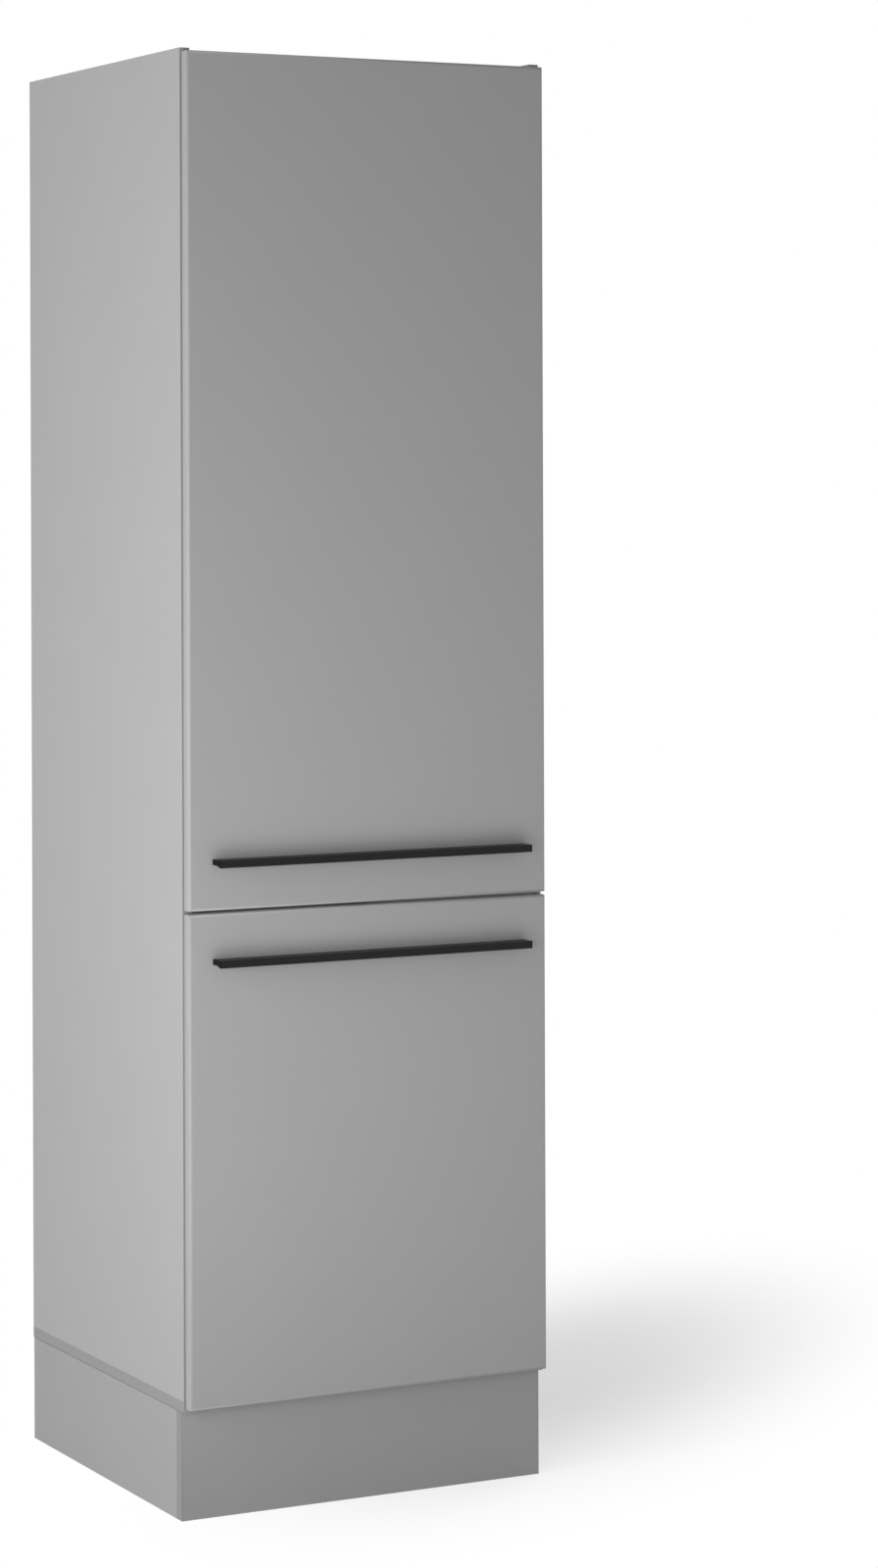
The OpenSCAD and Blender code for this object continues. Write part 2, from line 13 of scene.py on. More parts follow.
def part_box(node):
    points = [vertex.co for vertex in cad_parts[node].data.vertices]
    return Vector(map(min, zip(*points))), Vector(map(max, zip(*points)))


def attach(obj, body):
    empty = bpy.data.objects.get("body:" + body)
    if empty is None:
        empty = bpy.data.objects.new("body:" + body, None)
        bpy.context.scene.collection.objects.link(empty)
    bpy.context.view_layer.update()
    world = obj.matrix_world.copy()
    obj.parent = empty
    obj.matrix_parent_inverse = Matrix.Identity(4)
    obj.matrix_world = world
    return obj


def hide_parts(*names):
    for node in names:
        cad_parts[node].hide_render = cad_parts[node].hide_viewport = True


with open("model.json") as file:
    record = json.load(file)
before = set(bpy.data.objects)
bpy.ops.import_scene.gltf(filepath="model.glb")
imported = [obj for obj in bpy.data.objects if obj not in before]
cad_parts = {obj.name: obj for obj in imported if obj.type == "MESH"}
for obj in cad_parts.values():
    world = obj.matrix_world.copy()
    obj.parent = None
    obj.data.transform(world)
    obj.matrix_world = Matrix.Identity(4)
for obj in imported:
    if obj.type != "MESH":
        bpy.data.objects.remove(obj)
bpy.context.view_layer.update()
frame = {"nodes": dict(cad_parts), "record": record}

MM = 0.001
UP = (0, 0, 1)
QUARTER = pi / 2

# The camera, fitted to the straight edges of the photograph
CAMERA_PLACE = (-2.68930, -5.43819, 1.53188)
CAMERA_YAW = 0.46120        # radians to the right of +Y
CAMERA_ROLL = -0.00334
CAMERA_LENS = 90.105        # millimetres, for a long side of 36 mm
LONG_SIDE = 36
CAMERA_SHIFT = (0.0925, -0.20133)   # upright edges stay parallel, as in the photograph


def new_object(name, data):
    obj = bpy.data.objects.new(name, data)
    bpy.context.scene.collection.objects.link(obj)
    return obj


def make_camera():
    data = bpy.data.cameras.new("camera")
    data.sensor_fit = "VERTICAL"
    data.sensor_height = LONG_SIDE
    data.lens = CAMERA_LENS
    data.shift_x, data.shift_y = CAMERA_SHIFT
    forward = Vector((sin(CAMERA_YAW), cos(CAMERA_YAW), 0))
    level = Vector((cos(CAMERA_YAW), -sin(CAMERA_YAW), 0))
    up = Vector(UP)
    right = level * cos(CAMERA_ROLL) + up * sin(CAMERA_ROLL)
    top = up * cos(CAMERA_ROLL) - level * sin(CAMERA_ROLL)
    turn = Matrix((right, top, -forward)).transposed()
    camera = new_object("camera", data)
    camera.matrix_world = Matrix.Translation(CAMERA_PLACE) @ turn.to_4x4()
    bpy.context.scene.camera = camera


def linear(colour):
    """An sRGB hex colour as the linear RGBA that a socket takes."""
    levels = [int(colour[i:i + 2], 16) / 255 for i in (1, 3, 5)]
    return (*(c / 12.92 if c <= 0.04045 else ((c + 0.055) / 1.055) ** 2.4 for c in levels), 1)


def add(tree, kind, inputs=None, **settings):
    """Adds a node. Inputs go by name or number, and each is a value or another node's socket."""
    node = tree.nodes.new("ShaderNode" + kind)
    for name, value in settings.items():
        setattr(node, name, value)
    for name, value in (inputs or {}).items():
        if isinstance(value, bpy.types.NodeSocket):
            tree.links.new(value, node.inputs[name])
        else:
            node.inputs[name].default_value = value
    return node


# A Mix node's sockets: its share, its two numbers, its two colours, and the colour that comes out
SHARE, NUMBER_A, NUMBER_B, COLOUR_A, COLOUR_B = 0, 2, 3, 6, 7
COLOUR_OUT = 2


def new_material(name):
    material = bpy.data.materials.new(name)
    material.use_nodes = True
    material.node_tree.nodes.clear()
    return material, material.node_tree


LOOKS_ALONG = 0.8           # a face looks along an axis when its normal has more than this of it


def faces_along(tree, places, axes):
    """1 on faces that look along one of the axes, such as "Y" or "-Z", and 0 on the others."""
    parts = add(tree, "SeparateXYZ", {0: places.outputs["Normal"]})
    total = None
    for axis in axes:
        sign = -1 if axis.startswith("-") else 1
        along = add(tree, "Math", {0: parts.outputs[axis.strip("-")], 1: LOOKS_ALONG * sign},
                    operation="GREATER_THAN" if sign > 0 else "LESS_THAN")
        total = along if total is None else add(
            tree, "Math", {0: total.outputs[0], 1: along.outputs[0]}, operation="MAXIMUM")
    return total.outputs[0]


# How deep the relief of a surface is
FINE_RELIEF = 0.05 * MM
COARSE_RELIEF = 0.1 * MM

# The greys of the carcase and of the plinth, each with its faint clouds. The plinth's darker grey is
# painted shade: the same melamine, darkened for the dimmer light down by the floor
CARCASE_GREY = ("#a1a1a1", "#a5a5a5")
SHADED_PLINTH_GREY = ("#979797", "#9b9b9b")
MELAMINE_CLOUD = 111 * MM   # how far one cloud of a board's colour is from the next
PEARL = 0.9 * MM            # pearls of the pressed surface, drawn half as coarse again
CHIP_L = 3.2 * MM           # the chips in a sawn edge
CHIP_T = 0.9 * MM


def melamine_board(name, sawn, thickness_axis, grey):
    """Chipboard faced with grey melamine, pressed with a fine pearl: matt, with a faint sparkle.

    Its sawn edges, which look along the axes given, show tan chips lying flat in the board.
    """
    material, tree = new_material(name)
    places = add(tree, "TexCoord")
    pearl = add(tree, "TexNoise", {"Vector": places.outputs["Object"], "Scale": 1 / PEARL, "Detail": 1})
    cloud = add(tree, "TexNoise", {"Vector": places.outputs["Object"], "Scale": 1 / MELAMINE_CLOUD,
                                   "Detail": 3})
    face = add(tree, "Mix", {SHARE: cloud.outputs[0], COLOUR_A: linear(grey[0]),
                             COLOUR_B: linear(grey[1])}, data_type="RGBA")
    squeeze = [1 / CHIP_L] * 3
    squeeze["XYZ".index(thickness_axis)] = 1 / CHIP_T
    flat = add(tree, "Mapping", {"Vector": places.outputs["Object"], "Scale": squeeze})
    chips = add(tree, "TexVoronoi", {"Vector": flat.outputs[0], "Scale": 1})
    tone = add(tree, "SeparateColor", {0: chips.outputs["Color"]})
    wood = add(tree, "Mix", {SHARE: tone.outputs[0], COLOUR_A: linear("#8d6d49"),
                             COLOUR_B: linear("#c9ab7f")}, data_type="RGBA")
    raw = faces_along(tree, places, sawn)
    colour = add(tree, "Mix", {SHARE: raw, COLOUR_A: face.outputs[COLOUR_OUT],
                               COLOUR_B: wood.outputs[COLOUR_OUT]}, data_type="RGBA")
    height = add(tree, "Mix", {SHARE: raw, NUMBER_A: pearl.outputs[0], NUMBER_B: tone.outputs[1]},
                 data_type="FLOAT")
    bump = add(tree, "Bump", {"Height": height.outputs[0], "Strength": 0.15, "Distance": COARSE_RELIEF})
    rough = add(tree, "MapRange", {"Value": raw, "To Min": 0.48, "To Max": 0.85})
    shader = add(tree, "BsdfPrincipled", {"Base Color": colour.outputs[COLOUR_OUT],
                                          "Roughness": rough.outputs[0], "Normal": bump.outputs[0]})
    add(tree, "OutputMaterial", {"Surface": shader.outputs[0]})
    return material


FOIL_PEEL = 2.5 * MM        # the waves that the foil takes from the board under it
FOIL_CLOUD = 143 * MM


def grey_foil():
    """Grey foil drawn over MDF: smooth and matt, with the faintest orange peel."""
    material, tree = new_material("grey_foil_on_mdf")
    places = add(tree, "TexCoord")
    peel = add(tree, "TexNoise", {"Vector": places.outputs["Object"], "Scale": 1 / FOIL_PEEL,
                                  "Detail": 1})
    cloud = add(tree, "TexNoise", {"Vector": places.outputs["Object"], "Scale": 1 / FOIL_CLOUD,
                                   "Detail": 2})
    colour = add(tree, "Mix", {SHARE: cloud.outputs[0], COLOUR_A: linear("#9f9f9f"),
                               COLOUR_B: linear("#a1a1a1")}, data_type="RGBA")
    bump = add(tree, "Bump", {"Height": peel.outputs[0], "Strength": 0.1, "Distance": FINE_RELIEF})
    shader = add(tree, "BsdfPrincipled", {"Base Color": colour.outputs[COLOUR_OUT], "Roughness": 0.58,
                                          "Normal": bump.outputs[0]})
    add(tree, "OutputMaterial", {"Surface": shader.outputs[0]})
    return material


BAND_LINE_L = 200 * MM      # the die's lines along an extruded band
BAND_LINE_W = 0.5 * MM


def abs_band(name, colour, along):
    """Edge band of extruded ABS: satin, with faint lines along its length."""
    material, tree = new_material(name)
    places = add(tree, "TexCoord")
    stretch = [1 / BAND_LINE_W] * 3
    stretch["XYZ".index(along)] = 1 / BAND_LINE_L
    lines = add(tree, "Mapping", {"Vector": places.outputs["Object"], "Scale": stretch})
    noise = add(tree, "TexNoise", {"Vector": lines.outputs[0], "Scale": 1, "Detail": 2})
    rough = add(tree, "MapRange", {"Value": noise.outputs[0], "To Min": 0.34, "To Max": 0.46})
    bump = add(tree, "Bump", {"Height": noise.outputs[0], "Strength": 0.1, "Distance": FINE_RELIEF})
    shader = add(tree, "BsdfPrincipled", {"Base Color": linear(colour), "Roughness": rough.outputs[0],
                                          "Normal": bump.outputs[0]})
    add(tree, "OutputMaterial", {"Surface": shader.outputs[0]})
    return material


BAR_LINE_L = 150 * MM       # the die's lines along an extruded bar
BAR_LINE_W = 0.35 * MM


def black_anodised():
    """Extruded aluminium, black anodised: a dark satin with lines along the bar."""
    material, tree = new_material("black_anodised_aluminium")
    places = add(tree, "TexCoord")
    lines = add(tree, "Mapping", {"Vector": places.outputs["Object"],
                                  "Scale": (1 / BAR_LINE_L, 1 / BAR_LINE_W, 1 / BAR_LINE_W)})
    noise = add(tree, "TexNoise", {"Vector": lines.outputs[0], "Scale": 1, "Detail": 3})
    colour = add(tree, "Mix", {SHARE: noise.outputs[0], COLOUR_A: linear("#252526"),
                               COLOUR_B: linear("#2d2d2e")}, data_type="RGBA")
    rough = add(tree, "MapRange", {"Value": noise.outputs[0], "To Min": 0.34, "To Max": 0.5})
    bump = add(tree, "Bump", {"Height": noise.outputs[0], "Strength": 0.12, "Distance": FINE_RELIEF})
    shader = add(tree, "BsdfPrincipled", {"Base Color": colour.outputs[COLOUR_OUT], "Metallic": 1,
                                          "Roughness": rough.outputs[0], "Normal": bump.outputs[0]})
    add(tree, "OutputMaterial", {"Surface": shader.outputs[0]})
    return material


SPARK_GRAIN = 0.6 * MM      # the mould's grain, drawn coarser than its real 0.2 mm


def black_plastic(name, colour, gloss):
    """Moulded black polypropylene from a spark-eroded mould: dull, with a fine even grain."""
    material, tree = new_material(name)
    places = add(tree, "TexCoord")
    grain = add(tree, "TexNoise", {"Vector": places.outputs["Object"], "Scale": 1 / SPARK_GRAIN,
                                   "Detail": 2})
    bump = add(tree, "Bump", {"Height": grain.outputs[0], "Strength": 0.3, "Distance": COARSE_RELIEF})
    rough = add(tree, "MapRange", {"Value": grain.outputs[0], "To Min": 0.48, "To Max": 0.6})
    shader = add(tree, "BsdfPrincipled", {"Base Color": linear(colour), "Roughness": rough.outputs[0],
                                          "Specular IOR Level": gloss, "Normal": bump.outputs[0]})
    add(tree, "OutputMaterial", {"Surface": shader.outputs[0]})
    return material


ROUGH_EITHER_WAY = 0.08     # how far a metal's roughness wanders


def plated_metal(name, colour, roughness, grain):
    """Plated or cast metal: a metal's sheen over a surface with a grain of the given size."""
    material, tree = new_material(name)
    places = add(tree, "TexCoord")
    noise = add(tree, "TexNoise", {"Vector": places.outputs["Object"], "Scale": 1 / grain, "Detail": 3})
    rough = add(tree, "MapRange", {"Value": noise.outputs[0], "To Min": roughness - ROUGH_EITHER_WAY,
                                   "To Max": roughness + ROUGH_EITHER_WAY})
    bump = add(tree, "Bump", {"Height": noise.outputs[0], "Strength": 0.1, "Distance": FINE_RELIEF})
    shader = add(tree, "BsdfPrincipled", {"Base Color": linear(colour), "Metallic": 1,
                                          "Roughness": rough.outputs[0], "Normal": bump.outputs[0]})
    add(tree, "OutputMaterial", {"Surface": shader.outputs[0]})
    return material


FLECK_L = 6 * MM            # the flecks of beech, along its grain and across it
FLECK_W = 0.5 * MM


def beech():
    """Beech turned to a dowel: pale brown, with short darker flecks along the grain."""
    material, tree = new_material("beech")
    places = add(tree, "TexCoord")
    grain = add(tree, "Mapping", {"Vector": places.outputs["Object"],
                                  "Scale": (1 / FLECK_L, 1 / FLECK_W, 1 / FLECK_W)})
    noise = add(tree, "TexNoise", {"Vector": grain.outputs[0], "Scale": 1, "Detail": 3})
    colour = add(tree, "Mix", {SHARE: noise.outputs[0], COLOUR_A: linear("#b98d5f"),
                               COLOUR_B: linear("#dcb98a")}, data_type="RGBA")
    shader = add(tree, "BsdfPrincipled", {"Base Color": colour.outputs[COLOUR_OUT], "Roughness": 0.6})
    add(tree, "OutputMaterial", {"Surface": shader.outputs[0]})
    return material


FIBRE = 1.5 * MM            # the bundles of fibre in the back of the board


def hardboard():
    """Hardboard: its front is painted grey and smooth, its back is brown pressed fibre."""
    material, tree = new_material("painted_hardboard")
    places = add(tree, "TexCoord")
    fibre = add(tree, "TexNoise", {"Vector": places.outputs["Object"], "Scale": 1 / FIBRE, "Detail": 4})
    brown = add(tree, "Mix", {SHARE: fibre.outputs[0], COLOUR_A: linear("#6e5138"),
                              COLOUR_B: linear("#9a7a58")}, data_type="RGBA")
    raw = faces_along(tree, places, ["Y"])
    colour = add(tree, "Mix", {SHARE: raw, COLOUR_A: linear("#adadad"),
                               COLOUR_B: brown.outputs[COLOUR_OUT]}, data_type="RGBA")
    rough = add(tree, "MapRange", {"Value": raw, "To Min": 0.4, "To Max": 0.8})
    bump = add(tree, "Bump", {"Height": fibre.outputs[0], "Strength": 0.15, "Distance": COARSE_RELIEF})
    shader = add(tree, "BsdfPrincipled", {"Base Color": colour.outputs[COLOUR_OUT],
                                          "Roughness": rough.outputs[0], "Normal": bump.outputs[0]})
    add(tree, "OutputMaterial", {"Surface": shader.outputs[0]})
    return material


HAZE = 1.2 * MM             # the spots where its skin is a little duller


def clear_elastomer():
    """Soft clear polyurethane: milky, with a smooth skin."""
    material, tree = new_material("clear_elastomer")
    places = add(tree, "TexCoord")
    haze = add(tree, "TexNoise", {"Vector": places.outputs["Object"], "Scale": 1 / HAZE})
    rough = add(tree, "MapRange", {"Value": haze.outputs[0], "To Min": 0.2, "To Max": 0.3})
    shader = add(tree, "BsdfPrincipled", {"Base Color": linear("#e2e2df"), "Transmission Weight": 0.6,
                                          "Roughness": rough.outputs[0], "IOR": 1.49})
    add(tree, "OutputMaterial", {"Surface": shader.outputs[0]})
    return material


SAME_PLACE = 0.001 * MM     # vertices closer than this are one
FLAT = radians(0.3)         # faces that turn less than this are one flat face
CREASE = radians(35)        # an edge that turns more than this stays crisp
SHARP = radians(60)         # an edge that turns more than this is sharp enough to be trimmed
BLUNT = radians(15)         # the same on a handle, whose profile has blunt corners
TRIM = 0.3 * MM             # how wide a trimmed edge is


def body_of(node):
    return next(body for body, members in frame["record"]["behaviour"]["bodies"].items()
                if node in members)


def merged(node):
    """A copy of a CAD node's loose triangles, joined up and with its flat faces whole."""
    bm = bmesh.new()
    bm.from_mesh(frame["nodes"][node].data)
    bmesh.ops.remove_doubles(bm, verts=bm.verts, dist=SAME_PLACE)
    bmesh.ops.dissolve_limit(bm, angle_limit=FLAT, verts=bm.verts, edges=bm.edges)
    return bm


def piece(name, bm, material, slot, *nodes):
    """Makes a finished bmesh an object that stands for CAD nodes and rides on their body."""
    mesh = bpy.data.meshes.new(name)
    bm.to_mesh(mesh)
    bm.free()
    mesh.materials.append(material)
    mesh.shade_smooth()
    mesh.set_sharp_from_angle(angle=CREASE)
    obj = new_object(name, mesh)
    flat = obj.modifiers.new("flat faces stay flat", "WEIGHTED_NORMAL")
    flat.keep_sharp = True
    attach(obj, body_of(nodes[0]))
    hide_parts(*nodes)
    return obj


def mark_long_edges(bm, least, turn=SHARP):
    """Weights the straight edges that soften() trims, and leaves the small ones of holes."""
    layer = bm.edges.layers.float.new("bevel_weight_edge")
    for edge in bm.edges:
        sharp = edge.is_manifold and edge.calc_face_angle() > turn
        edge[layer] = 1 if sharp and edge.calc_length() > least else 0


def split_faces(bm):
    """Cuts flat faces into triangles. A face round a hole crosses itself when its rim is bevelled."""
    bmesh.ops.triangulate(bm, faces=bm.faces)


def soften(obj, width, segments=1):
    """Takes the sharpness off the marked edges, before the normals are weighted."""
    bevel = obj.modifiers.new("trimmed edges", "BEVEL")
    bevel.width = width
    bevel.segments = segments
    bevel.limit_method = "WEIGHT"
    bevel.use_clamp_overlap = False
    bevel.loop_slide = False
    obj.modifiers.move(len(obj.modifiers) - 1, 0)


def solids_of(node):
    """The lowest and the highest corner of each solid in a CAD node, in order of place."""
    bm = merged(node)
    left = set(bm.verts)
    corners = []
    while left:
        reached = [left.pop()]
        for vert in reached:
            near = {edge.other_vert(vert) for edge in vert.link_edges} & left
            left -= near
            reached.extend(near)
        axes = list(zip(*(vert.co for vert in reached)))
        corners.append((Vector(map(min, axes)), Vector(map(max, axes))))
    bm.free()
    return sorted(corners, key=lambda pair: tuple(pair[0]))


def joined(*parts):
    """Several shapes in one bmesh."""
    whole = bmesh.new()
    for part in parts:
        shape = bpy.data.meshes.new("part of a piece")
        part.to_mesh(shape)
        part.free()
        whole.from_mesh(shape)
        bpy.data.meshes.remove(shape)
    return whole


ROUND = 24                  # steps round a small turned piece


def turned(outline):
    """A shape turned about +Z, from (radius, height) pairs along its outline."""
    bm = bmesh.new()
    points = [bm.verts.new((radius, 0, height)) for radius, height in outline]
    lines = [bm.edges.new(pair) for pair in zip(points, points[1:])]
    bmesh.ops.spin(bm, geom=points + lines, cent=(0, 0, 0), axis=UP, angle=tau,
                   steps=ROUND, use_merge=True)
    bmesh.ops.remove_doubles(bm, verts=bm.verts, dist=SAME_PLACE)
    bmesh.ops.recalc_face_normals(bm, faces=bm.faces)
    return bm


def stand(bm, place, facing):
    """Turns a shape made along +Z to face another way and moves it to its place."""
    turn = Vector(UP).rotation_difference(Vector(facing)).to_matrix().to_4x4()
    bmesh.ops.transform(bm, matrix=Matrix.Translation(place) @ turn, verts=bm.verts)
    return bm


SMALL_THREAD = 16           # steps in a turn of a small thread
LARGE_THREAD = 24
THREAD_SUNK = 0.96          # the ridge's foot is this share of the core's radius out
THREAD_HALF = 0.36          # half the ridge's width at its foot, against the pitch


def thread(core, crest, pitch, top, bottom, steps=SMALL_THREAD):
    """The ridge of a screw thread, wound down round its core."""
    bm = bmesh.new()
    foot, half = THREAD_SUNK * core, THREAD_HALF * pitch
    profile = ((foot, 0, top - half), (crest, 0, top), (foot, 0, top + half))
    points = [bm.verts.new(point) for point in profile]
    section = bm.faces.new(points)
    turns = (top - bottom) / pitch
    bmesh.ops.spin(bm, geom=points + section.edges[:] + [section], cent=(0, 0, 0), axis=UP,
                   dvec=(0, 0, -pitch / steps), angle=tau * turns, steps=round(turns * steps))
    bmesh.ops.recalc_face_normals(bm, faces=bm.faces)
    return bm


CROSS_SLIM = 0.268          # half the width of a screw's cross against its reach, tan 15 degrees
CROSS_FLOOR = 0.5           # the cross at its floor against the cross at its mouth


def cross_recess(bm, rim, reach, depth):
    """Sinks the cross for a screwdriver inside an open round rim."""
    height = rim[0].verts[0].co.z
    half = reach * CROSS_SLIM
    corners = [Matrix.Rotation(number * QUARTER, 3, "Z") @ Vector((x, y, height))
               for number in range(4) for x, y in ((reach, -half), (reach, half), (half, half))]
    points = [bm.verts.new(corner) for corner in corners]
    outline = [bm.edges.new((points[i - 1], points[i])) for i in range(len(points))]
    bmesh.ops.bridge_loops(bm, edges=list(rim) + outline)
    sunk = bmesh.ops.extrude_edge_only(bm, edges=outline)["geom"]
    floor = [item for item in sunk if isinstance(item, bmesh.types.BMVert)]
    floor_edges = [item for item in sunk if isinstance(item, bmesh.types.BMEdge)]
    bmesh.ops.scale(bm, verts=floor, vec=(CROSS_FLOOR, CROSS_FLOOR, 1))
    bmesh.ops.translate(bm, verts=floor, vec=(0, 0, -depth))
    bmesh.ops.contextual_create(bm, geom=floor_edges)
    bmesh.ops.recalc_face_normals(bm, faces=bm.faces)


# The outline of a head: its radius and its depth as shares of the head's radius and height
PAN_HEAD = ((0.8, 0.1), (0.94, 0.35), (1, 0.7), (1, 1))
SUNK_HEAD = ((1, 0), (1, 0.1))
HEAD_RIM = 0.62             # the rim round the cross, against the head
CROSS_REACH = 0.85          # the cross against that rim
CROSS_DEEP = 0.45           # its depth against the head's radius
SCREW_CORE = 0.74           # the core inside the thread, against the shank
SCREW_POINT = 0.8           # the length of the point against the shank's radius
SCREW_NECK = 0.5 * MM       # the plain neck under the cross


def screw(kind, length, turn):
    """A cross-head screw that hangs down from the top of its head at the origin."""
    head, head_h, shank, pitch, sunk = kind
    head, shank = head / 2, shank / 2
    core, rim = SCREW_CORE * shank, HEAD_RIM * head
    depth = CROSS_DEEP * head
    neck = max(head_h, depth) + SCREW_NECK
    point = length - SCREW_POINT * shank
    shape = [(out * head, -down * head_h) for out, down in (SUNK_HEAD if sunk else PAN_HEAD)]
    bm = turned([(rim, 0)] + shape + [(shank, -head_h), (shank, -neck), (core, -neck), (core, -point),
                                      (0, -length)])
    cross_recess(bm, [edge for edge in bm.edges if edge.is_boundary], CROSS_REACH * rim, depth)
    bm = joined(bm, thread(core, shank, pitch, -neck - pitch / 2, -point))
    bmesh.ops.rotate(bm, verts=bm.verts, matrix=Matrix.Rotation(turn, 3, "Z"))
    return bm


# Screws: head diameter, head height, shank diameter, pitch, whether the head is countersunk, and
# the way that the head faces
SCREWS = {
    "leg_screws": ((8 * MM, 2 * MM, 4 * MM, 1.8 * MM, False), (0, 0, -1)),
    "base_screws": ((9 * MM, 4 * MM, 5 * MM, 2.4 * MM, True), (0, 0, -1)),
    "plate_screws": ((8 * MM, 1.5 * MM, 5 * MM, 2.2 * MM, False), (-1, 0, 0)),
    "arm_screws": ((7 * MM, 1.6 * MM, 4 * MM, 0.8 * MM, False), (-1, 0, 0)),
    "upper_cup_screws": ((7 * MM, 1 * MM, 3.5 * MM, 1.5 * MM, False), (0, 1, 0)),
    "lower_cup_screws": ((7 * MM, 1 * MM, 3.5 * MM, 1.5 * MM, False), (0, 1, 0)),
    "upper_handle_screws": ((8 * MM, 2 * MM, 4 * MM, 0.8 * MM, False), (0, 1, 0)),
    "lower_handle_screws": ((8 * MM, 2 * MM, 4 * MM, 0.8 * MM, False), (0, 1, 0)),
}
EACH_TURNED = 0.7           # radians by which each screw stopped further round than the last


def make_screws(materials):
    for node, (kind, facing) in SCREWS.items():
        facing = Vector(facing)
        made = []
        for number, (low, high) in enumerate(solids_of(node)):
            length = abs((high - low).dot(facing))
            top = (low + high) / 2 + facing * length / 2
            made.append(stand(screw(kind, length, number * EACH_TURNED), top, facing))
        piece(node + "_cut", joined(*made), materials["zinc"], "screw_steel", node)


BOARD_EDGE = 8 * MM         # shorter edges of a board are those of its holes
HARDBOARD_TRIM = 0.2 * MM


def board(node, material, slot, width=TRIM):
    """A board, door or band with its long edges softened."""
    bm = merged(node)
    mark_long_edges(bm, BOARD_EDGE)
    obj = piece(node + "_finished", bm, material, slot, node)
    soften(obj, width)


def make_boards(materials):
    for node in ("side_panel_left", "side_panel_right"):
        board(node, materials["side"], "board")
    for node in ("top_panel", "niche_shelf", "bottom_panel"):
        board(node, materials["flat"], "board")
    for node in ("rear_rail_bottom", "rear_rail_middle", "rear_rail_top"):
        board(node, materials["rail"], "board")
    for side in ("left", "right"):
        board(f"plinth_return_{side}", materials["return"], "plinth_board")
        board(f"plinth_band_{side}", materials["grey_upright"], "grey_band")
        board(f"bottom_band_{side}", materials["grey_deep"], "grey_band")
        board(f"side_band_{side}", materials["front_upright"], "front_band")
    board("plinth_front", materials["front"], "plinth_board")
    for node in ("bottom_band_front", "shelf_band", "top_band"):
        board(node, materials["front_across"], "front_band")
    board("back_panel", materials["hardboard"], "back_board", HARDBOARD_TRIM)


def make_doors(materials):
    for door in ("upper", "lower"):
        board(f"{door}_door", materials["foil"], "door_foil")


BAR_EDGE = 100 * MM         # only the edges along a handle are this long
MOULDED_EDGE = 1.2 * MM     # shorter edges of a cap or clip are those of its curves
CAP_ROUND = 0.4 * MM
CAP_STEPS = 3


def make_handles(materials):
    """Extruded bars, their ends capped with moulded plastic."""
    for door in ("upper", "lower"):
        bar = merged(f"{door}_handle")
        mark_long_edges(bar, BAR_EDGE, BLUNT)
        obj = piece(f"{door}_handle_bar", bar, materials["anodised"], "handle_bar", f"{door}_handle")
        soften(obj, TRIM)
        caps = merged(f"{door}_handle_caps")
        mark_long_edges(caps, MOULDED_EDGE, BLUNT)
        obj = piece(f"{door}_handle_end_caps", caps, materials["cap"], "handle_cap",
                    f"{door}_handle_caps")
        soften(obj, CAP_ROUND, CAP_STEPS)


HINGES = 5
PRESSED_ROUND = 0.2 * MM    # pressed steel's edges, and the shortest of them that is softened
PIN_CHAMFER = 0.3 * MM


def make_hinges(materials):
    """Pressed and nickel-plated hinges and their pins."""
    nodes = ["upper_hinge_cups", "lower_hinge_cups", "hinge_plates"]
    for node in nodes + [f"hinge_arm_{number + 1}" for number in range(HINGES)]:
        bm = merged(node)
        split_faces(bm)
        mark_long_edges(bm, PRESSED_ROUND)
        obj = piece(node + "_pressed", bm, materials["nickel"], "hinge_steel", node)
        soften(obj, PRESSED_ROUND)
    for door in ("upper", "lower"):
        pins = []
        for low, high in solids_of(f"{door}_hinge_pins"):
            radius, length = (high.x - low.x) / 2, high.z - low.z
            pin = turned([(0, 0), (radius - PIN_CHAMFER, 0), (radius, PIN_CHAMFER),
                          (radius, length - PIN_CHAMFER), (radius - PIN_CHAMFER, length), (0, length)])
            pins.append(stand(pin, ((low.x + high.x) / 2, (low.y + high.y) / 2, low.z), UP))
        piece(f"{door}_pins_turned", joined(*pins), materials["nickel"], "hinge_steel",
              f"{door}_hinge_pins")


BUMPER_FOOT = 0.3           # the straight foot of a bumper against its height
DOME_STEPS = 6


def make_bumpers(materials):
    """Soft stops: a short foot and a dome."""
    for door in ("upper", "lower"):
        made = []
        for low, high in solids_of(f"{door}_bumpers"):
            radius, height = (high.x - low.x) / 2, high.y - low.y
            foot = BUMPER_FOOT * height
            dome = [(radius * cos(angle), foot + (height - foot) * sin(angle))
                    for angle in (step * QUARTER / DOME_STEPS for step in range(DOME_STEPS))]
            shape = turned([(0, 0), (radius, 0)] + dome + [(0, height)])
            made.append(stand(shape, ((low.x + high.x) / 2, low.y, (low.z + high.z) / 2), (0, 1, 0)))
        piece(f"{door}_domed_bumpers", joined(*made), materials["elastomer"], "bumper",
              f"{door}_bumpers")


FLUTES = 18
FLUTE_DEEP = 0.94           # a flute's floor against the dowel's radius
DOWEL_CHAMFER = 1 * MM


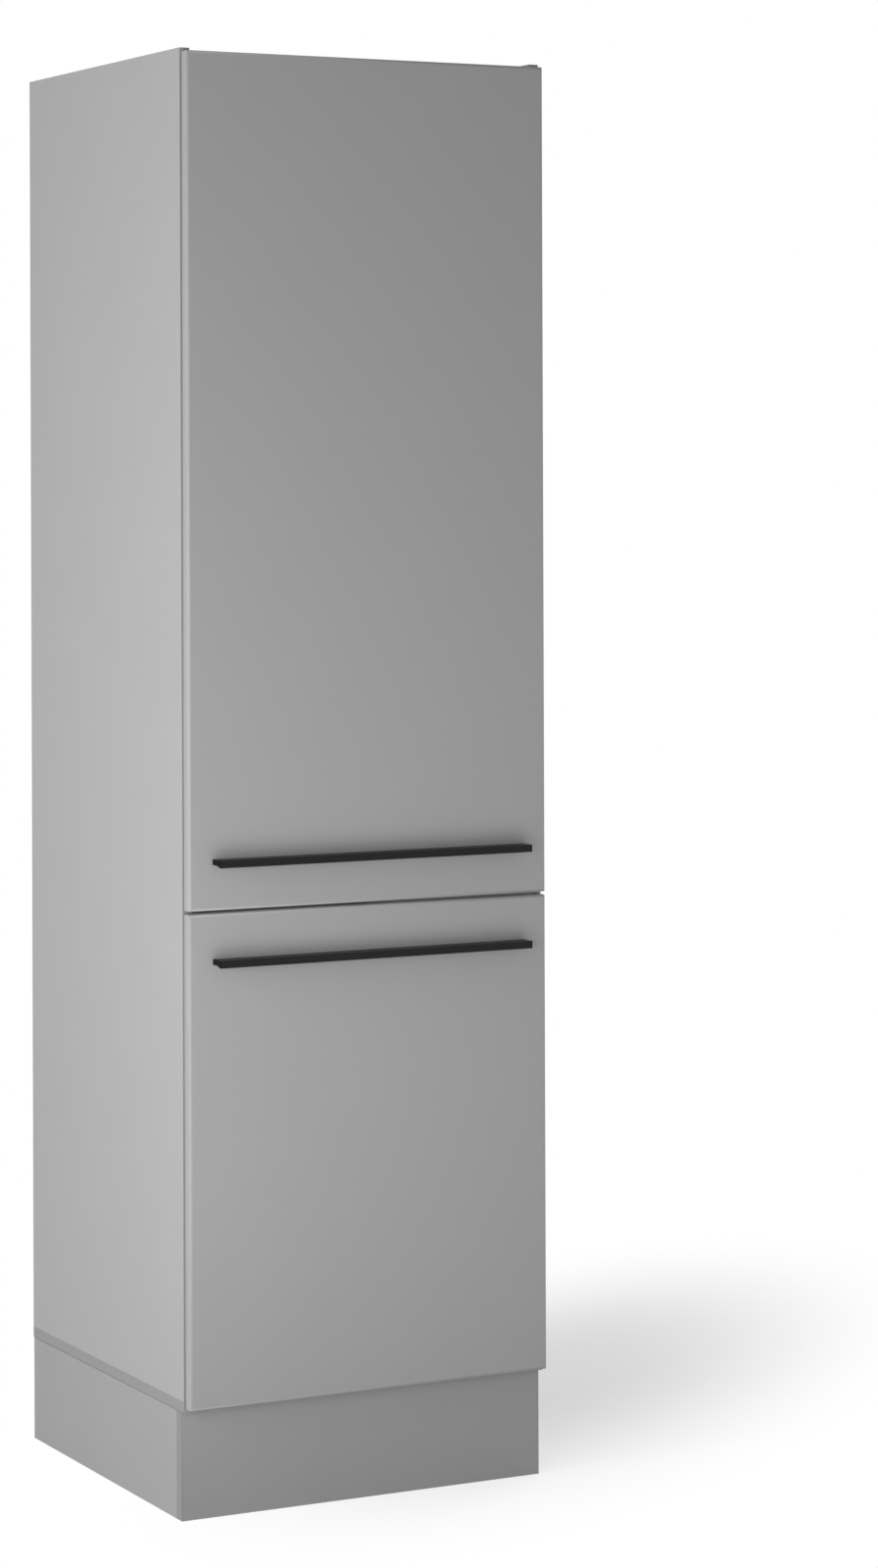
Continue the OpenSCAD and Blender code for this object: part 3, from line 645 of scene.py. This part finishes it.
def fluted_dowel(radius, length):
    """A dowel pressed with flutes that let the glue out, its ends chamfered."""
    bm = bmesh.new()
    end = radius - DOWEL_CHAMFER
    bmesh.ops.create_circle(bm, segments=2 * FLUTES, radius=end)
    ring = bm.edges[:]
    bmesh.ops.contextual_create(bm, geom=ring)
    for grow, rise in ((radius / end, DOWEL_CHAMFER), (1, length - 2 * DOWEL_CHAMFER),
                       (end / radius, DOWEL_CHAMFER)):
        moved = bmesh.ops.extrude_edge_only(bm, edges=ring)["geom"]
        ring = [item for item in moved if isinstance(item, bmesh.types.BMEdge)]
        verts = [item for item in moved if isinstance(item, bmesh.types.BMVert)]
        bmesh.ops.translate(bm, verts=verts, vec=(0, 0, rise))
        bmesh.ops.scale(bm, verts=verts, vec=(grow, grow, 1))
    bmesh.ops.contextual_create(bm, geom=ring)
    step = pi / FLUTES
    grooves = [vert for vert in bm.verts if round(vert.co.xy.angle_signed(Vector((1, 0))) / step) % 2]
    bmesh.ops.scale(bm, verts=grooves, vec=(FLUTE_DEEP, FLUTE_DEEP, 1))
    bmesh.ops.recalc_face_normals(bm, faces=bm.faces)
    return bm


# A cam bolt: shares of its radius, then its lengths
BOLT_CORE = 0.7
BOLT_END = 0.62
BOLT_NECK = 0.55
BOLT_THREAD_L = 11 * MM
BOLT_PITCH = 2 * MM
BOLT_HEAD_L = 5 * MM
BOLT_SLOPE = 1 * MM
BOLT_CHAMFER = 0.4 * MM
BOLT_START = 0.9 * MM       # where its thread starts


def cam_bolt(radius, length):
    """A bolt from the end of its thread at the origin down to the round head in its cam."""
    core, end, neck = BOLT_CORE * radius, BOLT_END * radius, BOLT_NECK * radius
    waist = -length + BOLT_HEAD_L
    bolt = turned([(0, 0), (end, 0), (core, -BOLT_CHAMFER), (core, -BOLT_THREAD_L),
                   (radius, -BOLT_THREAD_L), (radius, waist + 3 * BOLT_SLOPE),
                   (neck, waist + 2 * BOLT_SLOPE), (neck, waist - BOLT_SLOPE),
                   (radius, waist - 2 * BOLT_SLOPE), (radius, -length + BOLT_SLOPE),
                   (core, -length), (0, -length)])
    return joined(bolt, thread(core, radius, BOLT_PITCH, -BOLT_START, -BOLT_THREAD_L + BOLT_SLOPE))


def cut_cross(bm, face, reach, depth):
    """Sinks a cross in a flat round face of a shape that is in its place already."""
    rim, middle = face.edges[:], face.calc_center_median()
    turn = Vector(UP).rotation_difference(face.normal).to_matrix().to_4x4()
    there = Matrix.Translation(middle) @ turn
    bmesh.ops.delete(bm, geom=[face], context="FACES_ONLY")
    bmesh.ops.transform(bm, matrix=there.inverted(), verts=bm.verts)
    cross_recess(bm, rim, reach, depth)
    bmesh.ops.transform(bm, matrix=there, verts=bm.verts)


CAM_FACE = 120 * MM ** 2    # the round face of a cam is larger than this
CAM_RIM = 1.2 * MM
CAM_DISH = 0.4 * MM
CAM_CROSS = 3.6 * MM
CAM_CROSS_DEEP = 2.6 * MM


def make_joints(materials):
    """The cams, their bolts and the dowels that hold the boards together."""
    made = []
    for low, high in solids_of("rail_dowels"):
        shape = fluted_dowel((high.z - low.z) / 2, high.x - low.x)
        made.append(stand(shape, (low.x, (low.y + high.y) / 2, (low.z + high.z) / 2), (1, 0, 0)))
    piece("fluted_dowels", joined(*made), materials["beech"], "dowel_wood", "rail_dowels")

    made = []
    for low, high in solids_of("cam_bolts"):
        outward = 1 if low.x > 0 else -1
        shape = cam_bolt((high.z - low.z) / 2, high.x - low.x)
        end = (high.x if outward > 0 else low.x, (low.y + high.y) / 2, (low.z + high.z) / 2)
        made.append(stand(shape, end, (outward, 0, 0)))
    piece("cam_bolts_turned", joined(*made), materials["zinc"], "screw_steel", "cam_bolts")

    bm = merged("cam_locks")
    fronts = [face for face in bm.faces
              if face.normal.z < -LOOKS_ALONG and face.calc_area() > CAM_FACE]
    for face in fronts:
        bmesh.ops.inset_region(bm, faces=[face], thickness=CAM_RIM)
        bmesh.ops.inset_region(bm, faces=[face], thickness=CAM_DISH, depth=-CAM_DISH)
        cut_cross(bm, face, CAM_CROSS, CAM_CROSS_DEEP)
    piece("cam_locks_cast", bm, materials["cast"], "cam_zinc", "cam_locks")


# The legs and feet, as in the CAD model
LEG_PLATE_T = 4 * MM
COLLAR_D = 42 * MM
COLLAR_H = 22 * MM
PAD_H = 6 * MM
NUT_D = 24 * MM
NUT_H = 14 * MM
STEM_D = 14 * MM

# What the solids leave out of them
PLATE_CORNER = 6 * MM
CORNER_STEPS = 6
AT_CORNER = 0.01 * MM       # an edge nearer than this to a corner of the plate stands on it
RIB_T = 2.4 * MM
RIB_TOE = 2 * MM            # the rib's height at its outer end
RIB_IN = 3 * MM             # from the rib's outer end to the plate's edge
RIB_UP = 0.5 * MM           # how far it reaches into the plate
LEG_EDGE = 1 * MM
LEG_ROUND = 0.4 * MM
CLIP_ROUND = 0.5 * MM
OVERLAP = 1 * MM            # how far the parts of one moulding reach into each other
PAD_CHAMFER = 1.5 * MM      # at the pad's lower edge
PAD_SLOPE = 2 * MM          # at its upper edge
NUT_ROUND = 0.8 * MM
NUT_STEPS = 3
STEM_CORE = 0.84            # the core inside the thread, against the stem
STEM_PITCH = 3 * MM
STEM_CHAMFER = 1 * MM


def make_feet(materials):
    """Moulded legs with a rounded plate and ribs, feet that screw into them, and the plinth's clips."""
    for end in ("front", "back"):
        for side in ("left", "right"):
            make_leg(f"leg_{end}_{side}", materials["plastic"])
            make_foot(f"foot_{end}_{side}", materials["plastic"])
    for side in ("left", "right"):
        bm = merged(f"plinth_clip_{side}")
        split_faces(bm)
        mark_long_edges(bm, MOULDED_EDGE)
        obj = piece(f"plinth_clip_{side}_moulded", bm, materials["plastic"], "leg_plastic",
                    f"plinth_clip_{side}")
        soften(obj, CLIP_ROUND)


def rib(inner, outer, top, bottom):
    """A thin triangle between the socket and the plate, along +X."""
    bm = bmesh.new()
    corners = ((inner, bottom), (inner, top), (outer, top), (outer, top - RIB_TOE))
    face = bm.faces.new([bm.verts.new((x, -RIB_T / 2, z)) for x, z in corners])
    moved = bmesh.ops.extrude_face_region(bm, geom=[face])["geom"]
    bmesh.ops.translate(bm, vec=(0, RIB_T, 0),
                        verts=[item for item in moved if isinstance(item, bmesh.types.BMVert)])
    bmesh.ops.recalc_face_normals(bm, faces=bm.faces)
    return bm


def is_plate_corner(edge, middle, half):
    """Whether an edge of a leg stands upright at a corner of its square plate."""
    away = [abs(abs(vert.co[axis] - middle[axis]) - half) for vert in edge.verts for axis in (0, 1)]
    return max(away) < AT_CORNER and edge.calc_length() < 2 * LEG_PLATE_T


def make_leg(node, material):
    """A plate with round corners, a socket under it, and four ribs between them."""
    low, high = (Vector(corner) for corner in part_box(node))
    middle = (low + high) / 2
    half = (high.x - low.x) / 2
    bm = merged(node)
    corners = [edge for edge in bm.edges if is_plate_corner(edge, middle, half)]
    bmesh.ops.bevel(bm, geom=corners, offset=PLATE_CORNER, segments=CORNER_STEPS, profile=0.5,
                    affect="EDGES", material=-1)
    ribs = []
    for number in range(4):
        shape = rib(COLLAR_D / 2 - OVERLAP, half - RIB_IN, high.z - LEG_PLATE_T + RIB_UP,
                    high.z - COLLAR_H + OVERLAP)
        bmesh.ops.rotate(shape, verts=shape.verts, matrix=Matrix.Rotation(number * QUARTER, 3, "Z"))
        ribs.append(stand(shape, (middle.x, middle.y, 0), UP))
    whole = joined(bm, *ribs)
    mark_long_edges(whole, LEG_EDGE)
    obj = piece(node + "_moulded", whole, material, "leg_plastic", node)
    soften(obj, LEG_ROUND)


def make_foot(node, material):
    """A round pad, a hexagon for the spanner and a threaded stem."""
    low, high = (Vector(corner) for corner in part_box(node))
    radius, top = (high.x - low.x) / 2, high.z - low.z
    pad = turned([(0, 0), (radius - PAD_CHAMFER, 0), (radius, PAD_CHAMFER), (radius, PAD_H - PAD_SLOPE),
                  (radius - PAD_SLOPE, PAD_H), (0, PAD_H)])
    nut = bmesh.new()
    bmesh.ops.create_cone(nut, cap_ends=True, segments=6, radius1=NUT_D / 2, radius2=NUT_D / 2,
                          depth=NUT_H + OVERLAP)
    bmesh.ops.translate(nut, verts=nut.verts, vec=(0, 0, PAD_H + (NUT_H - OVERLAP) / 2))
    bmesh.ops.rotate(nut, verts=nut.verts, matrix=Matrix.Rotation(QUARTER, 3, "Z"))
    bmesh.ops.bevel(nut, geom=nut.edges[:], offset=NUT_ROUND, segments=NUT_STEPS, profile=0.5,
                    affect="EDGES", material=-1)
    core, start = STEM_CORE * STEM_D / 2, PAD_H + NUT_H - OVERLAP
    stem = turned([(0, start), (core, start), (core, top - STEM_CHAMFER), (core - STEM_CHAMFER, top),
                   (0, top)])
    ridge = thread(core, STEM_D / 2, STEM_PITCH, top - 2 * STEM_CHAMFER, start + STEM_PITCH,
                   LARGE_THREAD)
    place = ((low.x + high.x) / 2, (low.y + high.y) / 2, low.z)
    piece(node + "_screwed", stand(joined(pad, nut, stem, ridge), place, UP), material, "leg_plastic",
          node)


# The floor, the light and the background
FLOOR_WIDE = 40
FLOOR_CLOUD = 250 * MM
SHADOW_MIDDLE = (0.667, 0.31, 0)     # the long patch of floor that holds the unit's shadow
SHADOW_TURN = 0.688
SHADOW_REACH = (1.349, 0.547, 1)
WHITE_FROM = 0.118          # the part of its reach at which the floor starts to fade to white
FLOOR_SEEN = 0.75           # how much of its light the camera sees, over an even lift
FLOOR_LIFT = 0.3


def looked_at(tree):
    """1 for what the camera sees, straight or in a mirror or through glass."""
    path = add(tree, "LightPath")
    either = add(tree, "Math", {0: path.outputs["Is Camera Ray"], 1: path.outputs["Is Glossy Ray"]},
                 operation="MAXIMUM")
    either = add(tree, "Math", {0: either.outputs[0], 1: path.outputs["Is Transmission Ray"]},
                 operation="MAXIMUM")
    return either.outputs[0]


def pale_floor():
    """A pale matt floor that keeps the unit's shadow near it and is plain white further out."""
    material, tree = new_material("pale_floor")
    places = add(tree, "TexCoord")
    patch = add(tree, "Mapping", {"Vector": places.outputs["Object"], "Location": SHADOW_MIDDLE,
                                  "Rotation": (0, 0, SHADOW_TURN), "Scale": SHADOW_REACH},
                vector_type="TEXTURE")
    away = add(tree, "VectorMath", {0: patch.outputs[0]}, operation="LENGTH")
    fade = add(tree, "MapRange", {"Value": away.outputs["Value"], "From Min": WHITE_FROM,
                                  "From Max": 1}, interpolation_type="SMOOTHSTEP")
    cloud = add(tree, "TexNoise", {"Vector": places.outputs["Object"], "Scale": 1 / FLOOR_CLOUD})
    pale = add(tree, "Mix", {SHARE: cloud.outputs[0], COLOUR_A: linear("#e6e6e6"),
                             COLOUR_B: linear("#e8e8e8")}, data_type="RGBA")
    real = add(tree, "BsdfDiffuse", {"Color": pale.outputs[COLOUR_OUT]})
    seen = add(tree, "BsdfDiffuse", {"Color": (FLOOR_SEEN, FLOOR_SEEN, FLOOR_SEEN, 1)})
    lift = add(tree, "Emission", {"Color": linear("#ffffff"), "Strength": FLOOR_LIFT})
    lifted = add(tree, "AddShader", {0: seen.outputs[0], 1: lift.outputs[0]})
    white = add(tree, "Emission", {"Color": linear("#ffffff"), "Strength": 1})
    shown = add(tree, "MixShader", {0: fade.outputs[0], 1: lifted.outputs[0], 2: white.outputs[0]})
    whole = add(tree, "MixShader", {0: looked_at(tree), 1: real.outputs[0], 2: shown.outputs[0]})
    add(tree, "OutputMaterial", {"Surface": whole.outputs[0]})
    return material


def make_floor():
    bm = bmesh.new()
    bmesh.ops.create_grid(bm, x_segments=1, y_segments=1, size=FLOOR_WIDE / 2)
    mesh = bpy.data.meshes.new("floor")
    bm.to_mesh(mesh)
    bm.free()
    mesh.materials.append(pale_floor())
    new_object("floor", mesh)


# Soft boxes: place, aim, width and height in metres, and power in watts
LAMPS = {
    "side_box": ((-2.9, -0.8, 1.5), (-0.1, -0.1, 1.0), 0.6, 2.4, 42.5),
    "front_box": ((-1.6, -1.8, 0.8), (-0.1, -0.1, 1.0), 1.2, 1.2, 20),
    "floor_card": ((-0.6, -1.8, 0.02), (-0.6, -1.8, 1.0), 2.4, 1.6, 14),
    "rear_box": ((2.6, 1.6, 2.2), (0.1, 0.1, 1.0), 2.0, 2.0, 35),
}
WORLD_STRENGTH = 0.32


def make_lamps():
    for name, (place, aim, width, height, power) in LAMPS.items():
        data = bpy.data.lights.new(name, "AREA")
        data.shape = "RECTANGLE"
        data.size, data.size_y = width, height
        data.energy = power
        lamp = new_object(name, data)
        lamp.visible_camera = False
        turn = (Vector(aim) - Vector(place)).to_track_quat("-Z", "Y").to_matrix().to_4x4()
        lamp.matrix_world = Matrix.Translation(place) @ turn


def make_world():
    """A white background over a dimmer, even light."""
    world = bpy.data.worlds.new("white studio")
    bpy.context.scene.world = world
    world.use_nodes = True
    tree = world.node_tree
    tree.nodes.clear()
    strength = add(tree, "MapRange", {"Value": looked_at(tree), "To Min": WORLD_STRENGTH, "To Max": 1})
    light = add(tree, "Background", {"Color": linear("#ffffff"), "Strength": strength.outputs[0]})
    add(tree, "OutputWorld", {"Surface": light.outputs[0]})


make_camera()
# A board's axes are those that its sawn edges look along, and the one through its thickness
materials = {
    "side": melamine_board("melamine_side", ["Y", "Z", "-Z"], "X", CARCASE_GREY),
    "flat": melamine_board("melamine_shelf", ["Y"], "Z", CARCASE_GREY),
    "rail": melamine_board("melamine_rail", ["Z", "-Z"], "Y", CARCASE_GREY),
    # the plinth boards take the darker grey, painted shade for the low light near the floor
    "return": melamine_board("melamine_plinth_return", ["Y", "-Z"], "X", SHADED_PLINTH_GREY),
    "front": melamine_board("melamine_plinth_front", ["Z", "-Z"], "Y", SHADED_PLINTH_GREY),
    "foil": grey_foil(),
    "grey_upright": abs_band("grey_abs_band_upright", "#828282", "Z"),
    "grey_deep": abs_band("grey_abs_band_deep", "#878787", "Y"),
    # the front edge bands are a grey a little darker than the boards': partly their own colour, partly
    # painted shade for the dark gaps behind the doors
    "front_upright": abs_band("front_abs_band_upright", "#989898", "Z"),
    "front_across": abs_band("front_abs_band_across", "#989898", "X"),
    "anodised": black_anodised(),
    "plastic": black_plastic("moulded_black_plastic", "#1d1d1e", 0.5),
    "cap": black_plastic("dull_black_cap_plastic", "#0e0e0f", 0.12),
    "nickel": plated_metal("nickel_plated_steel", "#c9c6c0", 0.25, 1.5 * MM),
    "zinc": plated_metal("zinc_plated_steel", "#c3c6cb", 0.36, 0.8 * MM),
    "cast": plated_metal("cast_zinc", "#a9aaa8", 0.45, 0.6 * MM),
    "beech": beech(),
    "hardboard": hardboard(),
    "elastomer": clear_elastomer(),
}
make_boards(materials)
make_doors(materials)
make_handles(materials)
make_hinges(materials)
make_bumpers(materials)
make_screws(materials)
make_joints(materials)
make_feet(materials)

make_floor()
make_lamps()
make_world()
bpy.context.scene.view_settings.view_transform = "Standard"
